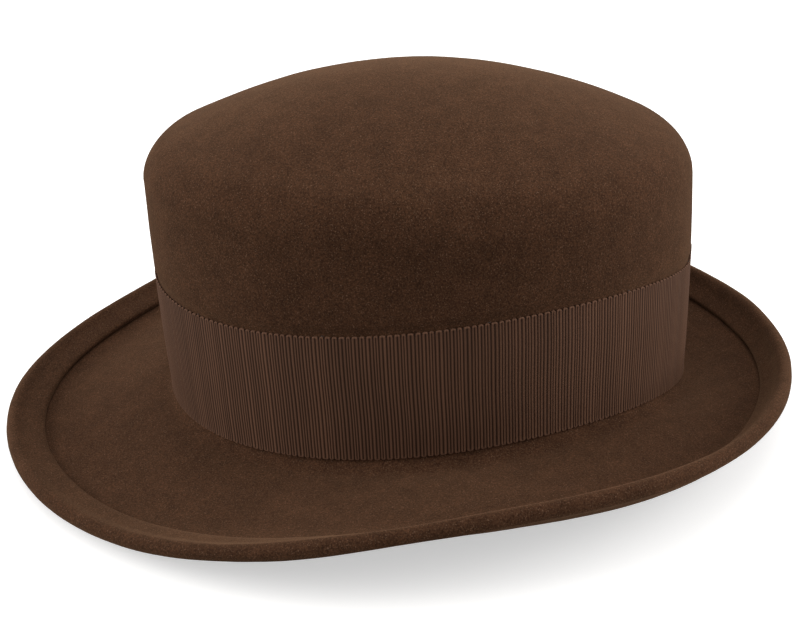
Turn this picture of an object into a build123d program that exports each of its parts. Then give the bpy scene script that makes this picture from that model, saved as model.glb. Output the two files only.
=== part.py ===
from build123d import *
import math
import os
import numpy as np

# ---------------------------------------------------------------------------
# Brown felt hat: round low crown, curled welted brim, wide ribbon with a bow.
# Millimetres. +Z up, the wearer looks along -Y, the wearer's left is +X.
# Origin: centre of the head opening, in the mean plane where crown meets brim.
#
# The hat is described round the "head oval", the ribbon's outer face at the
# break line (the wavy line where crown and brim meet):
#   theta   angle round the oval: -90 deg front, 0 wearer's left, 90 rear
#   offset  mm outward from the oval; depth is mm inward of the crown's inner face
#   height  mm above the break line; z is measured from the origin plane
#
# A tuple marked WAVE holds the weights of
#   1, sin t, cos 2t, sin 3t, cos 4t, cos t, sin 2t
# ---------------------------------------------------------------------------

# head oval
OVAL_HALF_LENGTH = 103.6
OVAL_HALF_WIDTH = 83.6
OVAL_EGG = (0.0, 0.0, 0.0, 0.34, 0.22, 0.0, -0.08)         # WAVE, mm outward
BREAK_LINE = (0.0, -3.6, 3.6, 1.2, -0.3, -0.1, 2.9)        # WAVE, z of the break line
REAR = 90.0                           # theta of the rear, degrees

# crown
CROWN_HEIGHT = 122.3                  # apex above the origin plane
CROWN_FLARE = (5.8, -4.4)             # outward lean, mm at 100 mm height: linear, square
DOME_CAP = 28.6                       # drop of the flat dome from apex to shoulder
DOME_SHOULDER_DROP = 9.9              # extra drop of the rounded shoulder
DOME_SHOULDER_AT = 0.90               # start of the shoulder, share of the radius
DOME_TILT = -4.3                      # front to back tilt of the dome
SHOULDER_Z = CROWN_HEIGHT - DOME_CAP - DOME_SHOULDER_DROP

# brim
BRIM_LENGTH = (56.3, -9.5, 6.4, 2.3, 1.1, 0.3, 0.6)        # WAVE, root to rim on the surface
BRIM_SLOPE = (-1.3, 9.4, 1.5, -3.4, 3.6, 0.6, -1.5)        # WAVE, degrees at the root
BRIM_CURL = (35.4, 9.5, 0.4, 4.7, 0.0, -1.8, 4.4)          # WAVE, degrees gained in the curl
CURL_FROM = 0.50                      # the curl starts and ends here, shares of the length
CURL_TO = 0.86
BRIM_ROOT = 4.0                       # offset where brim length is measured from
ROOT_DROP = 2.6                       # how far the root lies under the break line
SLOPE_STEPS = 60                      # samples when adding up the slope along the brim
WELT_WIDTH = 14.6                     # folded edge, inner line to rim

# felt, wire and rim
FELT = 1.9                            # crown felt under the ribbon; thicker above it
BRIM_FELT = 2.4
WELT_FELT = 2.2                       # the folded layer
WELT_GAP = 0.16
WELT_MID = WELT_GAP / 2
WIRE_R = 0.70
CHANNEL_R = WIRE_R + 0.35             # room round the wire for the joining sleeve
FOLD_R = 2.87                         # radius of the rounded rim
WIRE_HALF_GAP = math.degrees(0.6 / (OVAL_HALF_WIDTH + 50))  # at the wire's butt joint

# ribbon
RIBBON_WIDTH = 50.2
RIBBON_T = 0.60
RIBBON_GAP = 0.10                     # ribbon to felt
RIBBON_STATIONS = ((0.9, 0.25), (4.0, 0.0), (RIBBON_WIDTH * 0.5, 0.0),
                   (RIBBON_WIDTH, 0.0))   # height, extra offset
PRESSED = -(RIBBON_T + RIBBON_GAP)    # offset of the felt's outer face under the ribbon
INSET = FELT - PRESSED                # crown's inner face, mm inside the ribbon's outer face

# bow
BOW_AT = 106.5                        # degrees, centre of the bow
BOW_HALF = 26.0
BOW_T = 0.55                          # thickness of the bow's ribbon
BOW_TOP = RIBBON_WIDTH - 1.5
BOW_LOW = 2.2
PINCH = 5.5                           # how far each edge draws in at the knot
TAILS_OFFSET = 0.72
TAILS_MARGIN = 0.8                    # tails are narrower than the loops by this at each edge
LOOP_LOW, LOOP_HIGH = 1.72, 3.3       # offsets of the loop's two layers
LOOP_PINCHED = 0.62                   # distance between the layers under the knot
KNOT_HALF = 4.2
KNOT_OFFSETS = (0.44, 3.06)           # mid wall of the knot, near and far
KNOT_MARGIN = 0.95                    # knot beyond the pinched edges
KNOT_HALF_WALL = 0.18

# sweatband, reed and tape
SWEAT_WIDTH = 36.0                    # height of its top edge
SWEAT_STATIONS = ((1.95, 0.0), (8.0, 0.0), (22.0, -0.1), (SWEAT_WIDTH, -0.6))
SWEAT_OUTER = 1.05                    # depths of its two faces
SWEAT_INNER = SWEAT_OUTER + 0.9
REED_DEPTH, REED_HEIGHT = 1.15, 0.95  # centre of the reed
REED_R = 0.5
TAPE_OUTER_R, TAPE_INNER_R = 0.85, 0.62
TAPE_DEPTHS = (0.22, 0.46)            # faces of the tape's flat upper part
TAPE_HEIGHTS = (6.4, 2.4)             # its top edge and where the curl round the reed starts
SMALL_BOW_HEIGHT = 5.4

# lining
LINING_T = 0.35
SIDE_DEPTH = 0.25
TIP_DEPTH = 0.45
TIP_EDGE = 0.925                      # seam of tip and side band, share of the dome radius

THETA = np.linspace(0.0, 2.0 * math.pi, 60, endpoint=False)   # points round each ring


# ----------------------------------------------------------------- shape laws
def wave(theta, weights):
    terms = (1.0, np.sin(theta), np.cos(2 * theta), np.sin(3 * theta), np.cos(4 * theta),
             np.cos(theta), np.sin(2 * theta))
    return sum(weight * term for weight, term in zip(weights, terms))


def smooth(value):
    """Ease from 0 to 1, flat outside that range."""
    value = np.clip(value, 0, 1)
    return value * value * (3 - 2 * value)


def oval(theta, offset):
    """Point on the head oval moved outward by offset."""
    x, y = OVAL_HALF_WIDTH * np.cos(theta), OVAL_HALF_LENGTH * np.sin(theta)
    normal_x, normal_y = OVAL_HALF_LENGTH * np.cos(theta), OVAL_HALF_WIDTH * np.sin(theta)
    norm = np.hypot(normal_x, normal_y)
    shift = offset + wave(theta, OVAL_EGG)
    return x + shift * normal_x / norm, y + shift * normal_y / norm


def break_z(theta):
    return wave(theta, BREAK_LINE)


def flare(height):
    height = np.maximum(height, 0.0)
    return CROWN_FLARE[0] * (height / 100) + CROWN_FLARE[1] * (height / 100) ** 2


def point(theta, offset, z):
    return (*oval(theta, offset), z)


def wall_point(theta, offset, height):
    """Point on the crown wall; offset is from the ribbon's outer face, carried up the wall."""
    return point(theta, offset + flare(height), break_z(theta) + height)


def brim_at(theta, run, lift=0.0, along=0.0):
    """(offset, z) at run mm from the root on the brim's top felt face.

    lift moves along the surface normal, along moves outward on the tangent.
    """
    start = np.radians(wave(theta, BRIM_SLOPE))
    curl = np.radians(wave(theta, BRIM_CURL))
    share = run / wave(theta, BRIM_LENGTH)

    def slope(at_share):
        return start + curl * smooth((at_share - CURL_FROM) / (CURL_TO - CURL_FROM))

    steps = (np.arange(SLOPE_STEPS) + 0.5) / SLOPE_STEPS
    slopes = slope(np.multiply.outer(steps, share))
    offset = BRIM_ROOT + np.cos(slopes).mean(0) * run
    z = break_z(theta) - ROOT_DROP + np.sin(slopes).mean(0) * run
    tangent, rise = np.cos(slope(share)), np.sin(slope(share))
    return offset + tangent * along - rise * lift, z + rise * along + tangent * lift


def arc(radius, degrees):
    return [(radius * math.cos(a), radius * math.sin(a)) for a in np.radians(degrees)]


def circle(radius, count):
    return arc(radius, np.linspace(0, 360, count, endpoint=False))


# ---------------------------------------------------------------------- rings
def ring(offset, z):
    return np.stack(point(THETA, offset, z), -1)


def wall_ring(offset, height):
    return np.stack(wall_point(THETA, offset, height), -1)


def upper_wall_ring(share, inset):
    """Ring on the wall, share from 0 at the break line to 1 at the shoulder."""
    height = (SHOULDER_Z - break_z(THETA)) * share + DOME_TILT * share * np.sin(THETA)
    return wall_ring(-inset, height)


def dome_ring(share, inset):
    """Ring on the dome, share from 0 at the centre to 1 at the shoulder."""
    x, y = oval(THETA, flare(SHOULDER_Z - break_z(THETA)) - inset)
    turn = max(0.0, (share - DOME_SHOULDER_AT) / (1 - DOME_SHOULDER_AT))
    shoulder = DOME_SHOULDER_DROP * (1 - math.sqrt(max(0.0, 1 - turn * turn)))
    drop = DOME_CAP * share * share + shoulder
    z = CROWN_HEIGHT - inset - drop + DOME_TILT * share * y / OVAL_HALF_LENGTH
    return np.stack([x * share, y * share, z], -1)


def brim_ring(share, lift=0.0):
    """Ring at a share of the brim inside the welt."""
    return ring(*brim_at(THETA, share * (wave(THETA, BRIM_LENGTH) - WELT_WIDTH), lift))


def rim_ring(back, lift=0.0):
    """Ring back mm inside the rim."""
    return ring(*brim_at(THETA, wave(THETA, BRIM_LENGTH) - back, lift))


def rim_arc(radius, degrees):
    """Rings round the wire's centre."""
    return [rim_ring(FOLD_R - across, WELT_MID + up) for across, up in arc(radius, degrees)]


def bend_rings(wall_offset, wall_height, run, lift, degrees):
    """Rounded bend between the crown wall and the brim."""
    brim_offset, brim_z = brim_at(THETA, run, lift)
    wall_z = break_z(THETA) + wall_height
    return [ring(wall_offset + (brim_offset - wall_offset) * (1 - cosine),
                 brim_z + (wall_z - brim_z) * (1 - sine))
            for cosine, sine in arc(1.0, degrees)]


# --------------------------------------------------------------- solid makers
def vector(xyz):
    return Vector(*map(float, xyz))


def solid_from(faces):
    """Solid from closed faces, turned right side out."""
    solid = Solid(Shell(faces))
    if solid.volume < 0:
        solid = Solid(Shell([-face for face in faces]))
    return solid


def loop_edge(points):
    count = len(points)
    return Edge.make_spline([vector(p) for p in points], periodic=True,
                            parameters=[i / count for i in range(count + 1)])


def ring_solid(rings, closed):
    """Solid through rings; closed joins last to first, else both ends get a flat cap."""
    edges = [loop_edge(points) for points in rings]
    count = len(edges)
    faces = [Face.make_surface_from_curves(edges[i], edges[(i + 1) % count])
             for i in range(count if closed else count - 1)]
    if not closed:
        faces += [Face(Wire([edge])) for edge in (edges[0], edges[-1])]
    return solid_from(faces)


def strip_solid(sections):
    """Solid through section polygons that all have the same number of corners."""
    corners = len(sections[0])
    last = len(sections) - 1
    lines = [Edge.make_spline([vector(section[j]) for section in sections],
                              parameters=[i / last for i in range(last + 1)])
             for j in range(corners)]
    faces = [Face.make_surface_from_curves(lines[j], lines[(j + 1) % corners])
             for j in range(corners)]
    for section in (sections[0], sections[-1]):
        ends = [vector(p) for p in section]
        if corners == 4:      # four corners may not be flat, so the cap is ruled
            faces.append(Face.make_surface_from_curves(Edge.make_line(ends[0], ends[1]),
                                                       Edge.make_line(ends[3], ends[2])))
        else:
            faces.append(Face(Wire.make_polygon(ends, close=True)))
    return solid_from(faces)


def arc_strip(start, end, count, section):
    """Strip along the oval, degrees start to end; section(theta) lists (offset, z)."""
    return strip_solid([[point(theta, offset, z) for offset, z in section(theta)]
                        for theta in np.radians(np.linspace(start, end, count))])


def split_loop(centre, half_gap, section):
    """Strip right round the oval with its joint at centre."""
    return arc_strip(centre + half_gap, centre + 360 - half_gap, 61, section)


def band_section(theta, faces, stations):
    """Band up the wall between two face offsets; stations are (height, extra offset)."""
    first, second = [[(face + flare(height) + extra, break_z(theta) + height)
                      for height, extra in stations] for face in faces]
    return first + second[::-1]


def slab(place, sections):
    """Block along the oval; sections are (distance, near, far, low, high)."""
    return strip_solid([[place(distance, near, low), place(distance, far, low),
                         place(distance, far, high), place(distance, near, high)]
                        for distance, near, far, low, high in sections])


def walk_oval(offset, distance, start):
    """Theta in radians reached by walking distance mm from start degrees."""
    theta = np.linspace(-math.pi, math.pi, 2001)
    x, y = oval(theta, offset)
    walked = np.concatenate([[0], np.cumsum(np.hypot(np.diff(x), np.diff(y)))])
    origin = np.interp(math.radians(start), theta, walked)
    return np.interp(origin + distance, walked, theta)


def thread(start, end, radius):
    """A short straight stitch."""
    start, end = vector(start), vector(end)
    run = end - start
    return Solid.make_cylinder(radius, run.length, Plane(origin=start, z_dir=run))


# ------------------------------------------------------------------ felt body
def felt_height_ring(height):
    """Outer wall: pressed in under the ribbon, swelling to the ribbon's face above it."""
    return wall_ring(PRESSED * (1 - smooth((height - RIBBON_WIDTH - 0.4) / 4.0)), height)


def outer_crown():
    shares = (0.05, 0.2, 0.38, 0.55, 0.7, 0.81, 0.89, 0.92, 0.945, 0.967, 0.984, 0.995)
    above_ribbon = [RIBBON_WIDTH + rise for rise in (7.0, 4.4, 2.4, 0.4)]
    return ([dome_ring(share, 0.0) for share in shares]
            + [upper_wall_ring(share, 0.0) for share in (0.97, 0.86)]
            + [felt_height_ring(height) for height in above_ribbon + [34.0, 16.0, 5.0]])


def welt():
    """Under the flap, round the wire channel, back, over the flap and round the rim."""
    under = (WELT_WIDTH - 0.6, 11.0, 8.0, FOLD_R + CHANNEL_R + 1.2)
    top = WELT_GAP + WELT_FELT
    flap = [                          # mm back from the rim, lift
        (WELT_WIDTH - 0.05, WELT_GAP + 0.35),
        (WELT_WIDTH, WELT_GAP + WELT_FELT * 0.55),
        (WELT_WIDTH - 0.35, WELT_GAP + WELT_FELT * 0.92),
        (WELT_WIDTH - 1.2, top), (10.4, top), (7.4, top), (4.6, top + 0.28),
    ]
    bottom = [
        (4.6, -BRIM_FELT - 0.18),
        (7.4, -BRIM_FELT), (11.0, -BRIM_FELT), (WELT_WIDTH, -BRIM_FELT),
    ]
    return ([rim_ring(back) for back in under]
            + rim_arc(CHANNEL_R, np.linspace(-158, 158, 7))
            + [rim_ring(back, WELT_GAP) for back in under[::-1]]
            + [rim_ring(*station) for station in flap]
            + rim_arc(FOLD_R, np.linspace(78, -78, 7))
            + [rim_ring(*station) for station in bottom])


def inner_crown():
    shares = (0.992, 0.978, 0.958, 0.93, 0.9, 0.82, 0.68, 0.52, 0.36, 0.2, 0.05)
    return ([wall_ring(-INSET, height) for height in (5.0, 16.0, 34.0, 50.0)]
            + [upper_wall_ring(share, INSET) for share in (0.86, 0.95)]
            + [dome_ring(share, INSET) for share in shares])


def felt_body():
    """Crown and brim in one run of rings, from the outer apex round the rim to the inner."""
    return ring_solid(
        outer_crown()
        + bend_rings(PRESSED, 1.2, 2.0, 0.0, (0.0, 22.0, 42.0, 62.0, 80.0))
        + [brim_ring(share) for share in (0.12, 0.36, 0.6, 0.74, 0.87, 0.97)]
        + welt()
        + [brim_ring(share, -BRIM_FELT) for share in (0.87, 0.74, 0.6, 0.36, 0.16)]
        + bend_rings(-INSET, 0.6, 2.2, -BRIM_FELT, (78.0, 55.0, 30.0, 0.0))
        + inner_crown(), closed=False)


# ------------------------------------------------------------------ brim wire
def wire_section(radius, sides):
    def section(theta):
        run = wave(theta, BRIM_LENGTH) - FOLD_R
        return [brim_at(theta, run, WELT_MID + up, across)
                for across, up in circle(radius, sides)]
    return section


def brim_wire_joiner():
    """Sleeve over the wire's joint."""
    sleeve = arc_strip(REAR - 3.0, REAR + 3.0, 5, wire_section(CHANNEL_R - 0.16, 12))
    core = arc_strip(REAR - 3.6, REAR + 3.6, 5, wire_section(WIRE_R + 0.04, 12))
    return sleeve - core


# ------------------------------------------------------------- ribbon and bow
def ribbon_section(theta):
    return band_section(theta, (0.0, -RIBBON_T), RIBBON_STATIONS)


def bow_point(distance, offset, height):
    """distance is mm along the ribbon from the bow's centre."""
    return wall_point(walk_oval(0.0, distance, BOW_AT), offset, height)


def waist(distance, flat_half):
    """1 across the middle of the bow, fading to 0 beyond flat_half."""
    return math.exp(-(max(0.0, abs(distance) - flat_half) / 4.0) ** 2)


def bow_edges(distance, margin=0.0):
    """Heights of the bow's lower and upper edges."""
    drawn_in = PINCH * waist(distance, 4.6) + margin
    return BOW_LOW + drawn_in, BOW_TOP - drawn_in


def bow_tails():
    half = BOW_HALF - 1.5
    return slab(bow_point, [(distance, TAILS_OFFSET, TAILS_OFFSET + BOW_T,
                             *bow_edges(distance, TAILS_MARGIN))
                            for distance in np.linspace(-half, half, 17)])


def loop_ring(grow, edge):
    """Flattened loop seen from its edge (0 lower, 1 upper), its layers drawn together midway."""
    half = BOW_HALF - 1.2
    spread = LOOP_HIGH - LOOP_LOW
    points = []
    for cosine, sine in circle(1.0, 64):
        distance = math.copysign(abs(cosine) ** 0.22, cosine) * (half + grow)
        rise = math.copysign(abs(sine) ** 0.9, sine) * (spread / 2 + grow)
        offset = (LOOP_LOW + LOOP_HIGH) / 2 + rise
        if rise > 0:
            offset -= (spread - LOOP_PINCHED) * waist(distance, 4.8)
        points.append(bow_point(distance, offset, bow_edges(distance)[edge]))
    return points


def bow_loops():
    outer, inner = BOW_T / 2, -BOW_T / 2
    return ring_solid([loop_ring(outer, 0), loop_ring(outer, 1),
                       loop_ring(inner, 1), loop_ring(inner, 0)], closed=True)


def knot_block(half, grow):
    """Bar through the middle of the bow; grow is outward across its section."""
    near, far = KNOT_OFFSETS
    margin = PINCH - KNOT_MARGIN - grow
    return slab(bow_point, [(distance, near - grow, far + grow,
                             BOW_LOW + margin, BOW_TOP - margin)
                            for distance in np.linspace(-half, half, 5)])


def bow_knot():
    return knot_block(KNOT_HALF, KNOT_HALF_WALL) - knot_block(KNOT_HALF + 0.8, -KNOT_HALF_WALL)


def ribbon_tack_stitches():
    """Short level threads just above the ribbon's top edge."""
    height = RIBBON_WIDTH + 0.25
    offset = PRESSED + flare(height) + 0.22
    tacks = []
    for i in range(10):
        theta = math.radians(BOW_AT + 36 + i * 32)
        z = break_z(theta) + height
        tacks.append(thread(point(theta - 0.006, offset, z),
                            point(theta + 0.006, offset, z), 0.14))
    return Compound(children=tacks)


# ------------------------------------------------------------------ sweatband
def sweat_section(theta):
    return band_section(theta, (-INSET - SWEAT_OUTER, -INSET - SWEAT_INNER), SWEAT_STATIONS)


def upright_section(polygon):
    """Section from (depth, height) corners, without the crown's flare."""
    return lambda theta: [(-INSET - depth, break_z(theta) + height)
                          for depth, height in polygon]


def round_reed(corners):
    return [(REED_DEPTH + across, REED_HEIGHT + up) for across, up in corners]


def reed_tape():
    """Tape curled round the reed, with its flat part against the felt."""
    degrees = range(156, 481, 54)
    near, far = TAPE_DEPTHS
    top, low = TAPE_HEIGHTS
    polygon = ([(near, top), (near, low)]
               + round_reed(arc(TAPE_OUTER_R, degrees))
               + round_reed(arc(TAPE_INNER_R, degrees[::-1]))
               + [(far, low), (far, top)])
    return split_loop(REAR, 0.4, upright_section(polygon))


def inner_thread(start, end, depth, radius):
    """Stitch on the sweatband; start and end are (degrees, height)."""
    ends = [wall_point(math.radians(degrees), -INSET - depth, height)
            for degrees, height in (start, end)]
    return thread(*ends, radius)


def sweatband_stitches():
    return Compound(children=[
        inner_thread((centre - 1.55, 4.6), (centre + 1.55, 4.6), SWEAT_INNER + 0.42, 0.17)
        for centre in np.linspace(REAR + 9, REAR + 351, 66)])


def sweatband_seam_stitches():
    """Crossed slanting stitches up the rear joint."""
    seam = []
    for i in range(9):
        height = 10.5 + i * 2.6
        for side, low, high in ((1, 0.0, 1.05), (-1, 1.5, 2.35)):
            start, end = height + low, height + high
            lean = 0.0 if height < 20 else 0.5
            seam.append(inner_thread((REAR - side * 1.1, start), (REAR + side * 1.1, end),
                                     SWEAT_INNER + 0.35 + lean, 0.15))
    return Compound(children=seam)


def inside_point(distance, depth, height, centre=REAR):
    """distance is mm round the inside from centre degrees."""
    return wall_point(walk_oval(-4.0, distance, centre), -INSET - depth, height)


def small_loop(side):
    near = SWEAT_INNER + 0.55
    sections = []
    for i in range(7):
        share = i / 6
        half = 1.3 + 2.2 * math.sin(math.pi * min(1.0, 0.15 + 0.75 * share))
        thickness = 0.35 + 0.75 * math.sin(math.pi * (0.1 + 0.8 * share))
        sections.append((side * (1.7 + 8.0 * share), near, near + thickness,
                         SMALL_BOW_HEIGHT - half, SMALL_BOW_HEIGHT + half))
    return slab(inside_point, sections)


def sweatband_bow():
    near = SWEAT_INNER + 0.5
    knot = slab(inside_point, [(distance, near, near + 1.5,
                                SMALL_BOW_HEIGHT - 1.5, SMALL_BOW_HEIGHT + 1.5)
                               for distance in (-1.5, -0.5, 0.5, 1.5)])
    return Compound(children=[small_loop(1), small_loop(-1), knot])


# --------------------------------------------------------------------- lining
def side_run(depth):
    inset = INSET + depth
    return ([wall_ring(-inset, height) for height in (8.0, 22.0, 38.0)]
            + [upper_wall_ring(share, inset) for share in (0.82, 0.95)]
            + [dome_ring(share, inset) for share in (0.985, 0.96, TIP_EDGE + 0.01)])


def lining_side_band():
    return ring_solid(side_run(SIDE_DEPTH) + side_run(SIDE_DEPTH + LINING_T)[::-1],
                      closed=True)


def lining_tip():
    """Disc under the dome."""
    shares = (0.05, 0.25, 0.5, 0.7, 0.82, 0.88, TIP_EDGE - 0.012)
    upper = [dome_ring(share, INSET + TIP_DEPTH) for share in shares]
    lower = [dome_ring(share, INSET + TIP_DEPTH + LINING_T) for share in shares[::-1]]
    return ring_solid(upper + lower, closed=False)


def lining_piping():
    """Cord on the seam of tip and side band."""
    centre = dome_ring(TIP_EDGE + 0.004, INSET + 1.0) - np.array([0, 0, 0.25])
    outward = centre[:, :2] / np.linalg.norm(centre[:, :2], axis=1)[:, None]
    rings = []
    for across, up in circle(0.5, 10):
        points = centre.copy()
        points[:, :2] += outward * across
        points[:, 2] += up
        rings.append(points)
    return ring_solid(rings, closed=True)


def size_tab():
    """Blank tab tucked between lining and sweatband."""
    def place(distance, depth, height):
        return inside_point(distance, depth, height, REAR + 24)
    return slab(place, [(distance, 0.70, 0.92, 26.0, SWEAT_WIDTH + 8.0)
                        for distance in np.linspace(-9, 9, 5)])


parts = {
    "felt_body": felt_body(),
    "brim_wire": split_loop(REAR, WIRE_HALF_GAP, wire_section(WIRE_R, 8)),
    "brim_wire_joiner": brim_wire_joiner(),
    "ribbon_band": split_loop(BOW_AT, 0.5, ribbon_section),
    "bow_tails": bow_tails(),
    "bow_loops": bow_loops(),
    "bow_knot": bow_knot(),
    "ribbon_tack_stitches": ribbon_tack_stitches(),
    "sweatband": split_loop(REAR, 0.25, sweat_section),
    "sweatband_reed": split_loop(REAR, 0.6, upright_section(round_reed(circle(REED_R, 8)))),
    "reed_tape": reed_tape(),
    "sweatband_stitches": sweatband_stitches(),
    "sweatband_seam_stitches": sweatband_seam_stitches(),
    "sweatband_bow": sweatband_bow(),
    "lining_side_band": lining_side_band(),
    "lining_tip": lining_tip(),
    "lining_piping": lining_piping(),
    "size_tab": size_tab(),
}

os.makedirs("parts", exist_ok=True)
for name, shape in parts.items():
    export_step(shape, os.path.join("parts", name + ".step"))
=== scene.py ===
"""A felt hat with a wired, folded brim edge, grosgrain ribbon and bow, sweatband and lining.

Lengths are in millimetres until a mesh is made. The hat stands upright on +Z with its long
axis along Y and its rear toward +Y. z = 0 is about the break line, where crown meets brim.
`turn` is the angle round the hat in radians: 0 is the +X side, 90 degrees the rear.
`offset` is measured outward from the crown outline, `height` upward from the break line,
and `gap` inward from the inner face of the felt.
"""
import math
import bpy
import numpy as np
from mathutils import Matrix, Vector, noise


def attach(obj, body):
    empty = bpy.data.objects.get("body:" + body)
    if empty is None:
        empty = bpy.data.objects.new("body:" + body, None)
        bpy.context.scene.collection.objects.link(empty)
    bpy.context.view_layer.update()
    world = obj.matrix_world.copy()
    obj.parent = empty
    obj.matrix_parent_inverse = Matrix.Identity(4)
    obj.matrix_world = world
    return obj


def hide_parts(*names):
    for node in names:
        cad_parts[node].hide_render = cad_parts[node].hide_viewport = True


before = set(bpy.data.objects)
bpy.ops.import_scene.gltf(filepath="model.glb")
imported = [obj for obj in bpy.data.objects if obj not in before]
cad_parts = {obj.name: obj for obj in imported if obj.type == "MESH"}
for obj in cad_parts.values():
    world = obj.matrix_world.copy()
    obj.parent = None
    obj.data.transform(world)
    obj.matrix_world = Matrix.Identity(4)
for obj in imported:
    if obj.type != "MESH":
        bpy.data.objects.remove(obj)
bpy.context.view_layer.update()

BODY = "root"
MM = 0.001
TAU = 2 * math.pi

# --------------------------------------------------------------- shape of the hat
OVAL_HALF_LENGTH = 103.6
OVAL_HALF_WIDTH = 83.6
OVAL_EGG = (0.34, 0.22, -0.08)          # outward shift by sin 3t, cos 4t, sin 2t
CROWN_HEIGHT = 122.3
CROWN_FLARE = (5.8, -4.4)               # outward by height / 100, and by its square
DOME_CAP = 28.6
DOME_SHOULDER_DROP = 9.9
DOME_SHOULDER_AT = 0.90                 # share of the way from the dome's middle to its rim
DOME_TILT = -4.3
SHOULDER_Z = CROWN_HEIGHT - DOME_CAP - DOME_SHOULDER_DROP

# Waves round the hat, weights of: 1, sin t, cos 2t, sin 3t, cos 4t, cos t, sin 2t
BREAK_WAVE = (0.0, -3.6, 3.6, 1.2, -0.3, -0.1, 2.9)
BRIM_LENGTH = (56.3, -9.5, 6.4, 2.3, 1.1, 0.3, 0.6)
BRIM_SLOPE = (-1.3, 9.4, 1.5, -3.4, 3.6, 0.6, -1.5)      # degrees
BRIM_CURL = (35.4, 9.5, 0.4, 4.7, 0.0, -1.8, 4.4)        # degrees
CURL_FROM = 0.50                        # shares of the brim length
CURL_TO = 0.86
BRIM_ROOT = 4.0
ROOT_DROP = 2.6
BRIM_SAMPLES = 60

# The brim's edge folds back over itself as a welt, round a wire
WELT_WIDTH = 14.6
WELT_FELT = 2.2
WELT_GAP = 0.16
WELT_MID = WELT_GAP / 2
FOLD_RADIUS = 2.87
FOLD_BLEND = 7.0                        # from the edge, where the felt starts to swell
WIRE_RADIUS = 0.70
WIRE_ROOM = 0.35
CHANNEL_RADIUS = WIRE_RADIUS + WIRE_ROOM
CHANNEL_SIDE = FOLD_RADIUS + CHANNEL_RADIUS + 1.2
FELT = 1.9
BRIM_FELT = 2.4

RIBBON_LOW = 0.9
RIBBON_WIDTH = 50.2                     # height of the ribbon's upper edge
RIBBON_THICK = 0.60
RIBBON_GAP = 0.10
RIB_SPACING = 1.19
COLUMNS_PER_RIB = 6
CROWN_SKIN = -(RIBBON_THICK + RIBBON_GAP)   # offset of the felt under the ribbon
INNER_WALL = -CROWN_SKIN + FELT             # inward to the inner face of the felt

BOW_AT = 106.5                          # degrees
BOW_HALF = 26.0
BOW_THICK = 0.55
BOW_TOP = RIBBON_WIDTH - 1.5
BOW_LOW = 2.2
BOW_PINCH = 5.5                         # how far the knot gathers each edge

REAR = 90.0                             # degrees
SWEAT_THICK = 0.9
SWEAT_WIDTH = 36.0
SWEAT_LOW = 1.95
SWEAT_GAP = 1.05
SWEAT_FACE = SWEAT_GAP + SWEAT_THICK
LOWER_SEAM = 4.6
LINING_THICK = 0.35
LINING_GAP = 0.25
TIP_GAP = 0.45
TIP_REACH = 0.925                       # reach on the dome of the joint between the linings


def ease(share):
    """Smooth step from 0 to 1."""
    share = np.clip(share, 0, 1)
    return share * share * (3 - 2 * share)


def wave(turn, weights):
    terms = (np.ones_like(turn), np.sin(turn), np.cos(2 * turn), np.sin(3 * turn),
             np.cos(4 * turn), np.cos(turn), np.sin(2 * turn))
    return sum(weight * term for weight, term in zip(weights, terms))


def oval(turn, offset):
    """The crown outline, moved outward by offset."""
    length, width = OVAL_HALF_LENGTH, OVAL_HALF_WIDTH
    x, y = width * np.cos(turn), length * np.sin(turn)
    normal_x, normal_y = length * np.cos(turn), width * np.sin(turn)
    norm = np.hypot(normal_x, normal_y)
    out = (offset + OVAL_EGG[0] * np.sin(3 * turn) + OVAL_EGG[1] * np.cos(4 * turn)
           + OVAL_EGG[2] * np.sin(2 * turn))
    return x + out * normal_x / norm, y + out * normal_y / norm


def break_z(turn):
    return wave(turn, BREAK_WAVE)


def flare(height):
    height = np.maximum(height, 0.0)
    return CROWN_FLARE[0] * (height / 100) + CROWN_FLARE[1] * (height / 100) ** 2


def inner(height, gap):
    """Offset of a point gap inside the crown's inner face."""
    return flare(height) - INNER_WALL - gap


def wall_z(turn, share):
    """Height in z at a share of the way from the break line to the shoulder."""
    low = break_z(turn)
    return low + (SHOULDER_Z - low) * share + DOME_TILT * share * np.sin(turn)


def skin_at(height):
    """Offset of the felt's outside, recessed under the ribbon."""
    return CROWN_SKIN * (1 - ease((height - RIBBON_WIDTH - 0.4) / 4.0))


def ring(turn, offset, z):
    x, y = oval(turn, offset)
    return np.stack([x, y, z + 0 * turn], -1)


def above_break(turn, offset, height):
    return ring(turn, offset, break_z(turn) + height)


def dome_ring(turn, reach, inset):
    """Ring on the dome; reach is 0 in the middle and 1 at the shoulder."""
    past = max(0.0, (reach - DOME_SHOULDER_AT) / (1 - DOME_SHOULDER_AT))
    drop = (DOME_CAP * reach * reach
            + DOME_SHOULDER_DROP * (1 - math.sqrt(max(0.0, 1 - past * past))))
    x, y = oval(turn, flare(SHOULDER_Z - break_z(turn)) - inset)
    z = CROWN_HEIGHT - inset - drop + DOME_TILT * reach * y / OVAL_HALF_LENGTH
    return np.stack([x * reach, y * reach, z], -1)


def brim_frame(turn, distance):
    """Offset, z and outward direction (offset, z) at a distance along the brim's upper face."""
    length = wave(turn, BRIM_LENGTH)
    slope = np.radians(wave(turn, BRIM_SLOPE))
    curl = np.radians(wave(turn, BRIM_CURL))
    steps = (np.arange(BRIM_SAMPLES) + 0.5) / BRIM_SAMPLES
    share = distance / length

    def curled(at):
        return ease((at - CURL_FROM) / (CURL_TO - CURL_FROM))
    angle = slope[:, None] + curl[:, None] * curled(share[:, None] * steps[None, :])
    offset = BRIM_ROOT + np.cos(angle).mean(1) * distance
    z = break_z(turn) - ROOT_DROP + np.sin(angle).mean(1) * distance
    end = slope + curl * curled(share)
    return offset, z, np.cos(end), np.sin(end)


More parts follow.
